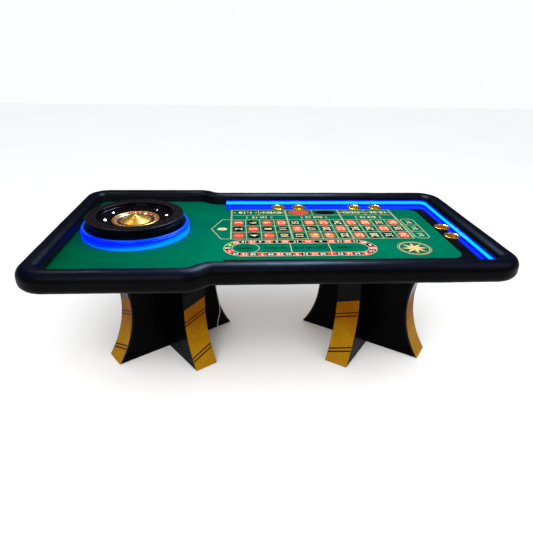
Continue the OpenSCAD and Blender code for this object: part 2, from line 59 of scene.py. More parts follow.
# ---------- sizes that the CAD sets ----------
HALF_L = 1.288
HALF_WHEEL_END = 0.731
HALF_PLAYER = 0.659
CORNER_R = 0.156
RAIL_W = 0.104
HALF_RAIL = RAIL_W / 2
STEP_X0, STEP_X1 = -0.480, -0.320
STEP_ANGLE = 2 * degrees(atan((HALF_WHEEL_END - HALF_PLAYER) / (STEP_X1 - STEP_X0)))
STEP_R = (STEP_X1 - STEP_X0) / (2 * sin(radians(STEP_ANGLE)))
PLAY_Z = 0.765
RAIL_TOP, RAIL_BOTTOM = 0.836, 0.722
CORE_TOP = 0.801
CORE_OUTER = 0.026
WALL_GAP = 0.0005
SHELF_X0, FELT_X1, FELT_Y0, FELT_Y1 = -0.284, 1.062, -0.412, 0.440
FELT_BACK_R, FELT_FRONT_R = 0.085, 0.070
CUPS = [(0.088, 0.496), (0.236, 0.496), (0.640, 0.496), (0.792, 0.496), (1.128, 0.080), (1.128, -0.078)]
WHEEL = Vector((-0.826, 0.032, 0))
DRUM_R = 0.32
POCKETS = 37
PEDESTAL_X, FIN_W, WAIST_R, FOOT_R, WAIST_Z = 0.645, 0.145, 0.305, 0.420, 0.360
CROSS_TURN = 9.6
ARC_R = (WAIST_Z ** 2 + (FOOT_R - WAIST_R) ** 2) / (2 * (FOOT_R - WAIST_R))
LEAD_D = 0.005
COIL = Vector((-0.464, -0.030, 0))


def show(obj):
    bpy.context.scene.collection.objects.link(obj)


# ---------- camera ----------
def make_camera(place, lens, pitch, yaw, roll):
    """A camera looking along +Y turned by yaw to +X, tipped down by pitch and rolled clockwise."""
    p, w, r = (radians(a) for a in (pitch, yaw, roll))
    ahead = Vector((sin(w) * cos(p), cos(w) * cos(p), -sin(p)))
    right = Vector((cos(w), -sin(w), 0))
    up = right.cross(ahead)
    right, up = right * cos(r) + up * sin(r), up * cos(r) - right * sin(r)
    data = bpy.data.cameras.new("camera")
    data.lens, data.sensor_width = lens, 36.0
    data.clip_end = 100
    cam = bpy.data.objects.new("camera", data)
    cam.matrix_world = Matrix.Translation(place) @ Matrix((right, up, -ahead)).transposed().to_4x4()
    show(cam)
    bpy.context.scene.camera = cam


make_camera(place=(-0.203, -2.697, 1.800), lens=31.32, pitch=25.24, yaw=3.85, roll=1.09)


# ---------- node materials ----------
MATS = {}


class Shader:
    """A node material under construction. Its methods return the socket they make.

    done sets the last sockets and keeps the material in MATS under its name.
    """

    def __init__(self, name):
        self.name = name
        self.mat = bpy.data.materials.new(name)
        self.mat.use_nodes = True
        self.tree = self.mat.node_tree
        self.tree.nodes.clear()
        out = self.tree.nodes.new("ShaderNodeOutputMaterial")
        self.bsdf = self.tree.nodes.new("ShaderNodeBsdfPrincipled")
        self.tree.links.new(self.bsdf.outputs[0], out.inputs[0])
        self.coord = self.tree.nodes.new("ShaderNodeTexCoord")
        self.here = self.place()

    def feed(self, socket, value):
        """Link a socket to another's output, or set its constant."""
        if isinstance(value, bpy.types.NodeSocket):
            self.tree.links.new(value, socket)
        else:
            socket.default_value = (*value, 1.0) if socket.type == "RGBA" else value

    def node(self, kind, inputs=None, **settings):
        n = self.tree.nodes.new("ShaderNode" + kind)
        for key, value in settings.items():
            setattr(n, key, value)
        for key, value in (inputs or {}).items():
            self.feed(n.inputs[key], value)
        return n

    def place(self, stretch=(1, 1, 1), turn=(0, 0, 0), move=(0, 0, 0)):
        return self.node("Mapping", {"Vector": self.coord.outputs["Object"], "Scale": stretch,
                                     "Rotation": [radians(a) for a in turn], "Location": move}).outputs[0]

    def axis(self, name, vector=None):
        """One coordinate of a vector, or of the place on the object."""
        return self.node("SeparateXYZ", {"Vector": vector or self.here}).outputs[name]

    def noise(self, where, scale, detail=4.0, rough=0.55, warp=0.0):
        n = self.node("TexNoise", {"Vector": where, "Scale": scale, "Detail": detail, "Roughness": rough,
                                   "Distortion": warp})
        return n.outputs["Fac"]

    def cells(self, where, scale):
        return self.node("TexVoronoi", {"Vector": where, "Scale": scale}).outputs["Distance"]

    def ramp(self, fac, stops):
        n = self.node("ValToRGB", {"Fac": fac})
        e = n.color_ramp.elements
        while len(e) < len(stops):
            e.new(0.5)
        for el, (at, colour) in zip(e, stops):
            el.position = at
            el.color = (*colour, 1.0)
        return n.outputs["Color"]

    def span(self, fac, lo, hi, start=0.3, end=0.7):
        return self.node("MapRange", {"Value": fac, "From Min": start, "From Max": end,
                                      "To Min": lo, "To Max": hi}).outputs[0]

    def mix(self, fac, a, b):
        return self.node("Mix", {0: fac, 6: a, 7: b}, data_type="RGBA").outputs[2]

    def bump(self, height, strength, distance=0.001, under=None):
        inputs = {"Height": height, "Strength": strength, "Distance": distance}
        if under is not None:
            inputs["Normal"] = under
        return self.node("Bump", inputs).outputs[0]

    def done(self, **sockets):
        for key, value in sockets.items():
            self.feed(self.bsdf.inputs[key.replace("_", " ")], value)
        MATS[self.name] = self.mat
        return self.mat


def surface(name, dark, light, rough=(0.3, 0.45), patch=12, grain=(1, 1, 1), fine=300, bump=0.15,
            depth=0.0004, shine=0.5, **extra):
    """Colour and roughness that drift over the surface, over a fine bump. shine is the specular level."""
    s = Shader(name)
    where = s.place(grain)
    drift = s.noise(where, patch, 6)
    return s.done(
        Base_Color=s.ramp(drift, [(0.32, dark), (0.68, light)]),
        Roughness=s.span(s.noise(where, patch * 3.1, 5), *rough),
        Normal=s.bump(s.noise(where, fine, 3), bump, depth),
        Specular_IOR_Level=shine,
        **extra)


def metal(name, dark, light, rough=(0.15, 0.3), **extra):
    return surface(name, dark, light, rough, Metallic=1.0, **extra)


def vinyl():
    """Grained vinyl with faint folds. Where it faces up it is painted bluer, a painted sheen of the light
    above on its top.
    """
    s = Shader("vinyl")
    grain = s.cells(s.here, 520)
    folds = s.noise(s.here, 9, 3, warp=0.6)
    creases = s.bump(folds, 0.25, 0.004)
    facing = s.axis("Z", s.node("NewGeometry").outputs["Normal"])
    # painted sheen: the colour turns bluer where the rail faces up, standing in for light reflected off its
    # top
    painted_top_sheen = s.span(facing, 0.0, 1.0, 0.35, 1.0)
    skin = s.ramp(s.noise(s.here, 7, 5), [(0.3, (0.0004, 0.0004, 0.0006)), (0.7, (0.0012, 0.0013, 0.0017))])
    return s.done(
        Base_Color=s.mix(painted_top_sheen, skin, (0.0014, 0.0019, 0.0095)),
        Roughness=s.span(s.noise(s.here, 22, 5), 0.34, 0.44),
        Specular_IOR_Level=0.035,
        Normal=s.bump(grain, 0.10, 0.0006, creases))


def felt():
    """Woven cloth with a nap. Painted shade darkens it round the wheel, and it is painted lighter and bluer
    towards the numbers, for the lit strip's glow.
    """
    s = Shader("felt")
    threads = s.node("TexWave", {"Vector": s.place(turn=(0, 0, 45)), "Scale": 420.0, "Distortion": 1.5,
                                 "Detail": 2.0}).outputs["Fac"]
    fluff = s.noise(s.here, 900, 3)
    painted_lit_tone = s.ramp(s.noise(s.here, 5, 6), [(0.3, (0.000, 0.125, 0.070)), (0.7, (0.000, 0.165, 0.092))])
    wear_and_painted_shade = s.ramp(s.noise(s.here, 7, 6), [(0.3, (0.000, 0.060, 0.022)), (0.7, (0.000, 0.085, 0.032))])
    # painted shade and light: the cloth darkens towards the wheel end and lightens, bluer, towards the lit
    # strip
    painted_shade_tone = s.mix(s.span(s.axis("X"), 0.0, 1.0, -1.25, -0.35), wear_and_painted_shade, painted_lit_tone)
    return s.done(
        Base_Color=s.mix(s.span(fluff, 0.0, 0.30), painted_shade_tone, (0.0, 0.075, 0.040)),
        Roughness=s.span(fluff, 0.80, 0.95),
        Specular_IOR_Level=0.0,
        Normal=s.bump(threads, 0.12, 0.0003, s.bump(fluff, 0.35, 0.0005)))


def ink(name, colour, gloss=0.55):
    """Ink printed into the cloth: the weave still shows through it."""
    s = Shader(name)
    fluff = s.noise(s.here, 900, 3)
    wear_and_painted_shade = tuple(0.8 * c for c in colour)
    return s.done(
        Base_Color=s.mix(s.span(s.noise(s.here, 160, 5), 0.0, 0.5), colour, wear_and_painted_shade),
        Roughness=s.span(fluff, gloss, gloss + 0.2),
        Specular_IOR_Level=0.0,
        Normal=s.bump(fluff, 0.25, 0.0003))


def glow(name, stops, strength, z0, z1, tilt=0.0, body=(0.0, 0.01, 0.06), uneven=0.08):
    """A lit opal surface, or a part painted to glow where light falls on it. Its colour runs through the
    stops from height z0 to z1.

    Across the wheel, from its left to its right, it also runs back by the share tilt.
    """
    s = Shader(name)
    level = s.span(s.axis("Z"), 0.0, 1.0, z0, z1)
    if tilt:
        back = s.span(s.axis("X"), tilt / 2, -tilt / 2, WHEEL.x - DRUM_R, WHEEL.x + DRUM_R)
        level = s.node("Math", {0: level, 1: back}, operation="ADD").outputs[0]
    spots = s.span(s.noise(s.here, 14, 3), -uneven, uneven)
    total = s.node("Math", {0: level, 1: spots}, operation="ADD").outputs[0]
    return s.done(
        Base_Color=body,
        Roughness=s.span(s.noise(s.here, 60, 4), 0.18, 0.3),
        Specular_IOR_Level=0.2,
        Emission_Color=s.ramp(total, stops),
        Emission_Strength=strength,
        Normal=s.bump(s.noise(s.here, 500, 2), 0.05, 0.0003))


def gold_face():
    """Gold effect under lacquer, with streaks that run up the fin, and painted shade that darkens its upper
    part under the table.
    """
    s = Shader("gold_veneer")
    along = s.place((1, 1, 0.06))
    streak = s.noise(along, 130, 5, 0.6)
    cloud = s.noise(s.here, 9, 4)
    dark = s.ramp(streak, [(0.30, (0.150, 0.046, 0.0)), (0.72, (0.250, 0.084, 0.0))])
    light = s.ramp(streak, [(0.30, (0.265, 0.122, 0.002)), (0.72, (0.410, 0.205, 0.005))])
    # painted shade: the gold is darker towards the top of the fin, where the table above shades it
    painted_shade_tone = s.mix(s.span(s.axis("Z"), 0.0, 1.0, 0.30, 0.13), dark, light)
    return s.done(
        Base_Color=s.mix(s.span(cloud, 0.0, 0.35), painted_shade_tone, (0.15, 0.052, 0.0)),
        Metallic=0.03,
        Roughness=s.span(s.noise(along, 60, 4), 0.36, 0.50),
        Specular_IOR_Level=0.02,
        Normal=s.bump(streak, 0.18, 0.0004))


def lacquered_wood(name, dark, light, rough, coat):
    """Growth rings and pores under a clear coat."""
    s = Shader(name)
    rings = s.node("TexWave", {"Vector": s.place((1, 0.25, 1)), "Scale": 9.0, "Distortion": 7.0,
                               "Detail": 4.0, "Detail Scale": 1.6}).outputs["Fac"]
    pores = s.noise(s.place((1, 0.12, 1)), 240, 3)
    return s.done(
        Base_Color=s.ramp(rings, [(0.2, dark), (0.8, light)]),
        Roughness=s.span(s.noise(s.here, 18, 4), *rough),
        Specular_IOR_Level=0.05,
        Coat_Weight=coat,
        Coat_Roughness=0.10,
        Normal=s.bump(pores, 0.03, 0.0002))


def brushed_round(name, dark, light, rough):
    """Turned metal: fine streaks that run out from the wheel's axis."""
    s = Shader(name)
    local = s.place(move=(-WHEEL.x, -WHEEL.y, 0))
    spoke = s.node("TexGradient", {"Vector": local}, gradient_type="RADIAL").outputs["Fac"]
    around = s.node("CombineXYZ", {"X": spoke, "Z": s.axis("Z", local)}).outputs[0]
    streak = s.noise(s.node("Mapping", {"Vector": around, "Scale": (1, 1, 2)}).outputs[0], 90, 3)
    return s.done(
        Base_Color=s.ramp(streak, [(0.30, dark), (0.70, light)]),
        Metallic=0.7,
        Roughness=s.span(s.noise(local, 120, 4), *rough),
        Normal=s.bump(streak, 0.12, 0.0003))


# Rail, cloth and inks
vinyl()
felt()
ink("ink_cream", (0.80, 0.68, 0.40))
ink("ink_red", (0.78, 0.050, 0.030))
ink("ink_black", (0.004, 0.006, 0.010))
ink("ink_white", (0.86, 0.84, 0.80))
ink("ink_green", (0.02, 0.30, 0.04))
ink("ink_orange", (0.78, 0.30, 0.04))

# Boards, shelf and hardware
surface("plywood", (0.30, 0.19, 0.10), (0.46, 0.32, 0.18), (0.6, 0.8), 6, (1, 7, 1), 220)
surface("beam_wood", (0.34, 0.23, 0.12), (0.50, 0.37, 0.21), (0.6, 0.8), 5, (9, 1, 9), 200)
surface("shelf_gloss", (0.002, 0.002, 0.003), (0.005, 0.005, 0.007), (0.03, 0.08), 8, fine=30, bump=0.02,
        depth=0.0003, shine=0.03)
surface("core_black", (0.002, 0.002, 0.003), (0.005, 0.005, 0.007), (0.35, 0.5), 9, fine=260, bump=0.1,
        shine=0.1)
metal("zinc_steel", (0.42, 0.42, 0.43), (0.66, 0.66, 0.68), (0.3, 0.5), patch=60)
# Painted glow: the aluminium channel is no lamp; its lower lip glows deep blue, standing in for the strip's
# light falling on it.
glow("channel_aluminium", [(0.0, (0.0, 0.0, 1.0)), (0.5, (0.0, 0.0, 1.0)), (0.6, (0, 0, 0))],
     strength=14.0, z0=0.765, z1=0.773, body=(0.004, 0.004, 0.006), uneven=0.0)

# Lights and supply
surface("led_strip", (0.75, 0.75, 0.72), (0.85, 0.85, 0.82), (0.5, 0.7))
glow("led_cyan",
     [(0.00, (0.0, 0.0005, 0.30)), (0.26, (0.0, 0.028, 1.0)), (0.58, (0.0, 0.028, 1.0)),
      (0.76, (0.0, 0.0005, 0.30)), (0.86, (0.0, 0.0, 0.02)), (1.0, (0.0, 0.0, 0.002))],
     strength=30.0, z0=0.767, z1=0.801, uneven=0.03)
glow("drum_blue", [(0.05, (0.0, 0.085, 1.0)), (0.45, (0.0, 0.011, 1.0)), (0.85, (0.0, 0.001, 1.0))],
     strength=4.0, z0=0.768, z1=0.812, tilt=0.9)
glow("drum_top_blue",
     [(0.0, (0.0, 0.11, 1.0)), (0.45, (0.0, 0.07, 1.0)), (0.75, (0.0, 0.01, 0.9)), (1.0, (0.0, 0.11, 1.0))],
     strength=0.95, z0=0.722, z1=0.922, tilt=1.0)
surface("drum_top_dark", (0.0, 0.0005, 0.020), (0.0, 0.001, 0.050), (0.12, 0.25), 14, shine=0.3)
surface("driver_plastic", (0.018, 0.018, 0.018), (0.03, 0.03, 0.03), (0.45, 0.6), fine=700, bump=0.3)
surface("wire_pvc", (0.35, 0.02, 0.015), (0.45, 0.03, 0.02), (0.3, 0.4))
surface("lead_grey", (0.42, 0.42, 0.41), (0.55, 0.55, 0.54), (0.35, 0.5), 40, fine=900, bump=0.1)
surface("lead_black", (0.012, 0.012, 0.012), (0.025, 0.025, 0.025), (0.4, 0.55), fine=900)

# Wheel
surface("drum_base", (0.006, 0.006, 0.01), (0.012, 0.012, 0.018), (0.2, 0.3))
lacquered_wood("bowl_lacquer", (0.007, 0.005, 0.008), (0.012, 0.008, 0.012), (0.20, 0.30), 0.0)
lacquered_wood("bowl_side", (0.0006, 0.0004, 0.001), (0.0016, 0.001, 0.002), (0.10, 0.20), 0.2)
lacquered_wood("apron_lacquer", (0.002, 0.001, 0.002), (0.005, 0.002, 0.005), (0.18, 0.26), 0.0)
metal("deflector_chrome", (0.50, 0.47, 0.38), (0.74, 0.70, 0.60), (0.05, 0.14), patch=50, bump=0.03)
metal("bearing_steel", (0.50, 0.50, 0.52), (0.70, 0.70, 0.72), (0.15, 0.25), patch=80)
lacquered_wood("rotor_wood", (0.05, 0.020, 0.010), (0.11, 0.05, 0.025), (0.3, 0.4), 0.5)
brushed_round("rotor_gold", (0.34, 0.16, 0.012), (0.60, 0.32, 0.040), (0.24, 0.36))
surface("cup_gold", (0.50, 0.26, 0.015), (0.85, 0.52, 0.06), (0.17, 0.27), 90, (1, 1, 0.08), 260, 0.10,
        Metallic=0.85)
surface("pocket_dark", (0.010, 0.008, 0.008), (0.022, 0.018, 0.016), (0.3, 0.45))
for name, dark, light in (("cell_red", (0.40, 0.015, 0.010), (0.50, 0.025, 0.015)),
                          ("cell_black", (0.004, 0.004, 0.005), (0.009, 0.009, 0.010)),
                          ("cell_green", (0.01, 0.20, 0.03), (0.02, 0.27, 0.05))):
    surface(name, dark, light, (0.12, 0.2), 60, Coat_Weight=0.5)
surface("cell_white", (0.70, 0.69, 0.66), (0.82, 0.81, 0.78), (0.3, 0.4), 80)

# Pedestals
surface("panel_black", (0.0006, 0.0006, 0.0007), (0.0014, 0.0014, 0.0016), (0.22, 0.34), 5, fine=40,
        bump=0.02, depth=0.0003, shine=0.02)
surface("face_black", (0.0012, 0.0015, 0.0015), (0.003, 0.0035, 0.0035), (0.14, 0.24), 8, fine=60,
        bump=0.03, shine=0.04)
gold_face()
surface("maroon_line", (0.012, 0.002, 0.001), (0.026, 0.004, 0.002), (0.25, 0.38), 40, shine=0.02)
surface("glide_rubber", (0.012, 0.012, 0.012), (0.03, 0.03, 0.03), (0.7, 0.85), fine=500, bump=0.3)


# ---------- mesh helpers ----------
def add_piece(name, verts, faces, slots, body, replaces=(), marks=None, smooth=True, sharp=35):
    """A mesh piece that rides on a body.

    slots are the names of its materials, and marks gives each face's index into them.
    """
    mesh = bpy.data.meshes.new(name)
    mesh.from_pydata([tuple(v) for v in verts], [], faces)
    for key in slots:
        mesh.materials.append(MATS[key])
    if marks is not None:
        mesh.polygons.foreach_set("material_index", marks)
    mesh.validate()
    bm = bmesh.new()
    bm.from_mesh(mesh)
    bmesh.ops.recalc_face_normals(bm, faces=bm.faces)
    bm.to_mesh(mesh)
    bm.free()
    if smooth:
        mesh.polygons.foreach_set("use_smooth", [True] * len(mesh.polygons))
        mesh.set_sharp_from_angle(angle=radians(sharp))
    obj = bpy.data.objects.new(name, mesh)
    show(obj)
    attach(obj, body)
    if replaces:
        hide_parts(*replaces)
    return obj


def grid_faces(rows, cols, close_rows=False, close_cols=False, start=0):
    """Quads between neighbours of a grid of vertices that was filled row by row."""
    faces = []
    for i in range(rows if close_rows else rows - 1):
        for j in range(cols if close_cols else cols - 1):
            a, b = i * cols + j, i * cols + (j + 1) % cols
            c, d = ((i + 1) % rows) * cols + (j + 1) % cols, ((i + 1) % rows) * cols + j
            faces.append([start + k for k in (a, b, c, d)])
    return faces


def prism_faces(base, n):
    """Faces of a prism whose n corners at one end come first, and the n at its other end next."""
    sides = [[base + i, base + n + i, base + n + (i + 1) % n, base + (i + 1) % n] for i in range(n)]
    return [[base + i for i in range(n)], [base + 2 * n - 1 - i for i in range(n)]] + sides


def on_circle(x, y, r, a):
    return x + r * cos(a), y + r * sin(a)


def arc(x, y, r, a0, a1, steps):
    """Points from one angle to another, in degrees."""
    return [on_circle(x, y, r, radians(a0 + (a1 - a0) * i / steps)) for i in range(steps + 1)]


def circle(x, y, r, n):
    return arc(x, y, r, 0, 360, n)[:-1]


def rounded(points, r, steps=4):
    """A closed outline with its corners rounded by r, or by less where a side is short."""
    out = []
    n = len(points)
    for i in range(n):
        a, b, c = (Vector(points[(i + k) % n]) for k in (-1, 0, 1))
        u, v = (a - b), (c - b)
        cut = min(r, 0.45 * u.length, 0.45 * v.length)
        if cut < 1e-5 or u.normalized().dot(v.normalized()) < -0.995:
            out.append(b)
            continue
        p, q = b + u.normalized() * cut, b + v.normalized() * cut
        for k in range(steps + 1):
            t = k / steps
            out.append(p * (1 - t) ** 2 + b * 2 * t * (1 - t) + q * t ** 2)
    return out


def lathe(name, outline, slots, body, replaces, soft=0.0012, turns=192, zone=None, centre=WHEEL):
    """A closed outline of (radius, height) in millimetres, turned about an axis, with corners of radius soft.

    zone gives the index into slots for a face whose middle is at a radius and height in millimetres.
    """
    ring = rounded([(r / 1000, z / 1000) for r, z in outline], soft)
    verts = []
    for u, v in circle(0, 0, 1, turns):
        verts += [(centre.x + p.x * u, centre.y + p.x * v, p.y) for p in ring]
    marks = None
    if zone:
        middles = [(p + q) * 500 for p, q in zip(ring, ring[1:] + ring[:1])]
        marks = [zone(m.x, m.y) for m in middles] * turns
    faces = grid_faces(turns, len(ring), True, True)
    return add_piece(name, verts, faces, slots, body, replaces, marks)


# ---------- plan of the table ----------
def arc_steps(centre, r, a0, a1, out, spacing):
    """Points on an arc, each with the direction away from the table: out is -1 where the arc is hollow."""
    n = max(5, ceil(abs(radians(a1 - a0)) * r / spacing))
    rays = [Vector(ray) for ray in arc(0, 0, 1, a0, a1, n)]
    return [(Vector(centre) + ray * r, ray * out) for ray in rays]


def fill_straights(steps, spacing):
    """The closed path, with steps added where it runs straight."""
    out = []
    for (p, u), (q, v) in zip(steps, steps[1:] + steps[:1]):
        out.append((p, u))
        gap = (q - p).length
        if gap > 1.5 * spacing:
            k = ceil(gap / spacing)
            out += [(p.lerp(q, j / k), u.lerp(v, j / k).normalized()) for j in range(1, k)]
    return out


def near_side(spacing):
    """The rail's centreline along the near side, as (point, outward direction), wheel end first."""
    y_wide, y_narrow = -HALF_WHEEL_END + HALF_RAIL, -HALF_PLAYER + HALF_RAIL
    r = CORNER_R - HALF_RAIL
    return (arc_steps((-HALF_L + CORNER_R, -HALF_WHEEL_END + CORNER_R), r, 180, 270, 1, spacing)
            + arc_steps((STEP_X0, y_wide + STEP_R), STEP_R, -90, -90 + STEP_ANGLE, 1, spacing)
            + arc_steps((STEP_X1, y_narrow - STEP_R), STEP_R, 90 + STEP_ANGLE, 90, -1, spacing)[1:]
            + arc_steps((HALF_L - CORNER_R, -HALF_PLAYER + CORNER_R), r, -90, 0, 1, spacing))


def far_side(spacing):
    return [(Vector((p.x, -p.y)), Vector((u.x, -u.y))) for p, u in reversed(near_side(spacing))]


def offset(steps, distance):
    return [p + u * distance for p, u in steps]


# ---------- padded rail ----------
def pad_section():
    """Across the rail: (distance outwards from its middle, height), clockwise from the inner lower edge."""
    r_outer, r_inner, r_low = 0.051, 0.044, 0.038
    glue = 0.0005
    inner = [(-HALF_RAIL + 0.004, CORE_TOP + glue), (-HALF_RAIL + 0.0018, CORE_TOP + 0.0012)]
    over = arc(-HALF_RAIL + r_inner, RAIL_TOP - r_inner, r_inner, 166, 90, 12) \
        + arc(HALF_RAIL - r_outer, RAIL_TOP - r_outer, r_outer, 90, 0, 14)
    side = [(HALF_RAIL, RAIL_BOTTOM + r_low + 0.017), (HALF_RAIL, RAIL_BOTTOM + r_low + 0.008)]
    under = arc(HALF_RAIL - r_low, RAIL_BOTTOM + r_low, r_low, 0, -66, 9)
    tuck = [(CORE_OUTER + 0.0015, RAIL_BOTTOM + 0.0036), (CORE_OUTER + glue, RAIL_BOTTOM + 0.005),
            (CORE_OUTER + glue, 0.76), (CORE_OUTER + glue, CORE_TOP + glue), (-0.015, CORE_TOP + glue)]
    return inner + over + side + under + tuck


# Broad and fine unevenness of the padding: (depth, waves a metre along, waves a metre up).
SWELLS = ((0.0011, 7, 9), (0.0005, 31, 16))
PUCKER_DEPTH, PUCKER_REACH = 0.0016, 0.10


def ripple(run, q, waves, wander, size):
    """A wave along the rail, from 0 to 1, that wanders a little."""
    return 0.5 + 0.5 * sin(run * waves + wander * noise.noise(q.to_3d() * size))


def make_rail():
    """One padded band round the table. Its skin puckers low down at the corners and along its inner edge."""
    path = fill_straights(near_side(0.012) + far_side(0.012), 0.014)
    section = pad_section()
    heart_x, heart_z = 0.004, 0.780
    corners = [Vector((sx * (HALF_L - CORNER_R), sy * (hw - CORNER_R)))
               for sx, hw in ((-1, HALF_WHEEL_END), (1, HALF_PLAYER)) for sy in (-1, 1)]
    verts = []
    run = 0.0
    last = path[-1][0]
    for p, u in path:
        run += (p - last).length
        last = p
        near = min((p - c).length for c in corners)
        pucker = max(0.0, 1 - max(0.0, near - CORNER_R) / PUCKER_REACH)
        for x, z in section:
            skin = z > CORE_TOP + 0.002 or x > CORE_OUTER + 0.004
            q = p + u * x
            swell = 0.0
            if skin:
                swell = sum(depth * noise.noise(Vector((q.x * along, q.y * along, z * up)))
                            for depth, along, up in SWELLS)
                low = max(0.0, 1 - (z - RAIL_BOTTOM) / 0.05)
                swell -= PUCKER_DEPTH * pucker * low * ripple(run, q, 520, 2, 30)
                hold = max(0.0, 1 - (z - CORE_TOP) / 0.012) if x < 0 else 0.0
                swell -= 0.0002 * hold * ripple(run, q, 190, 3, 12)
            away = Vector((x - heart_x, z - heart_z)).normalized()
            q = p + u * (x + away.x * swell)
            verts.append((q.x, q.y, z + away.y * swell))
    faces = grid_faces(len(path), len(section), True, True)
    obj = add_piece("rail_upholstery", verts, faces, ["vinyl"], "table",
                    ["rail_pad_front", "rail_pad_back", "rail_pad_left", "rail_pad_right"], sharp=60)


# ---------- printed layout ----------
PRINT_Z = PLAY_Z + 0.00005
LEVEL, SUNK = 0.00012, 0.0006
CAP_HEIGHT = 0.70  # height of a capital in the font, as a share of its size


class Print:
    """Flat shapes in ink, each a very thin solid let into the cloth. Higher levels lie over lower ones."""

    def __init__(self, slots):
        self.slots, self.verts, self.faces, self.marks, self.words = slots, [], [], [], {}

    def shape(self, points, ink_name, level=0):
        z1 = PRINT_Z + LEVEL * (level + 1)
        n, base = len(points), len(self.verts)
        self.verts += [(p[0], p[1], z1) for p in points] + [(p[0], p[1], PLAY_Z - SUNK) for p in points]
        self.faces += prism_faces(base, n)
        self.marks += [self.slots.index(ink_name)] * (n + 2)

    def line(self, points, width, ink_name="ink_cream", closed=False, level=0):
        """A ribbon of even width along the points, as one quad a segment with mitred ends."""
        pts = [Vector(p) for p in points]
        n = len(pts)
        left, right = [], []
        for i, p in enumerate(pts):
            a = pts[i - 1] if i or closed else None
            b = pts[(i + 1) % n] if i < n - 1 or closed else None
            d0 = (p - a).normalized() if a is not None else (b - p).normalized()
            d1 = (b - p).normalized() if b is not None else d0
            n0, n1 = Vector((-d0.y, d0.x)), Vector((-d1.y, d1.x))
            m = (n0 + n1).normalized()
            m = m * (width / 2 / max(0.35, m.dot(n0)))
            left.append(p + m)
            right.append(p - m)
        for i in range(n if closed else n - 1):
            j = (i + 1) % n
            self.shape([left[i], right[i], right[j], left[j]], ink_name, level)

    def oval(self, x, y, rx, ry, ink_name, level=0, n=40):
        self.shape([(x + rx * u, y + ry * v) for u, v in circle(0, 0, 1, n)], ink_name, level)

    def text(self, words, x, y, height, turn, ink_name="ink_cream", level=2, squeeze=1.0):
        """Generic numbers and game words, centred on a point; turn is the reading direction in degrees."""
        if words not in self.words:
            curve = bpy.data.curves.new("words", "FONT")
            curve.body = words
            curve.size = 1.0
            curve.offset = 0.020
            curve.resolution_u = 4
            curve.extrude = 0.5
            obj = bpy.data.objects.new("words", curve)
            mesh = bpy.data.meshes.new_from_object(obj)
            v = np.array([tuple(k.co) for k in mesh.vertices])
            lo, hi = v.min(0), v.max(0)
            v[:, :2] = (v[:, :2] - (lo[:2] + hi[:2]) / 2) / CAP_HEIGHT
            self.words[words] = v, [list(p.vertices) for p in mesh.polygons]
            bpy.data.objects.remove(obj)
            bpy.data.curves.remove(curve)
            bpy.data.meshes.remove(mesh)
        v, polygons = self.words[words]
        c, s = cos(radians(turn)), sin(radians(turn))
        z1, z0 = PRINT_Z + LEVEL * (level + 1), PLAY_Z - SUNK / 2
        base = len(self.verts)
        for p in v:
            u, w = p[0] * height * squeeze, p[1] * height
            self.verts.append((x + u * c - w * s, y + u * s + w * c, z1 if p[2] > 0 else z0))
        self.faces += [[base + i for i in f] for f in polygons]
        self.marks += [self.slots.index(ink_name)] * len(polygons)


REDS = {1, 3, 5, 7, 9, 12, 14, 16, 18, 19, 21, 23, 25, 27, 30, 32, 34, 36}
WHEEL_ORDER = [0, 32, 15, 19, 4, 21, 2, 25, 17, 34, 6, 27, 13, 36, 11, 30, 8, 23, 10,
               5, 24, 16, 33, 1, 20, 14, 31, 9, 22, 18, 29, 7, 28, 12, 35, 3, 26]
GRID_X, COL, ROWS = -0.245, 0.093, (-0.121, -0.006, 0.107, 0.222)
DOZEN_Y, OUTSIDE_Y = 0.314, 0.425
PLAYERS, FOOT_END = 180, 90  # reading directions: from the players' side, and from the far end


def number_colour(number):
    if number == 0:
        return "green"
    return "red" if number in REDS else "black"


def number_grid(p):
    """Twelve columns of three numbers, with the outside bets ruled beyond them."""
    thin, twin = 0.0026, 0.0030
    right = GRID_X + 12 * COL
    for y in ROWS + (DOZEN_Y, OUTSIDE_Y):
        p.line([(GRID_X, y), (right, y)], thin)
    for i in range(13):
        x = GRID_X + i * COL
        if i % 4 == 0:
            for side in (-twin, twin):
                p.line([(x + side, ROWS[0]), (x + side, OUTSIDE_Y)], thin)
        else:
            p.line([(x, ROWS[0]), (x, ROWS[3])], thin)
            if i % 2 == 0:
                p.line([(x, DOZEN_Y), (x, OUTSIDE_Y)], thin)
    for n in range(1, 37):
        x = GRID_X + COL * ((n - 1) // 3 + 0.5)
        row = (n - 1) % 3
        y = (ROWS[row] + ROWS[row + 1]) / 2
        p.oval(x, y, 0.034, 0.046, "ink_" + number_colour(n), 1)
        p.text(str(n), x, y, 0.046, FOOT_END, squeeze=0.95)


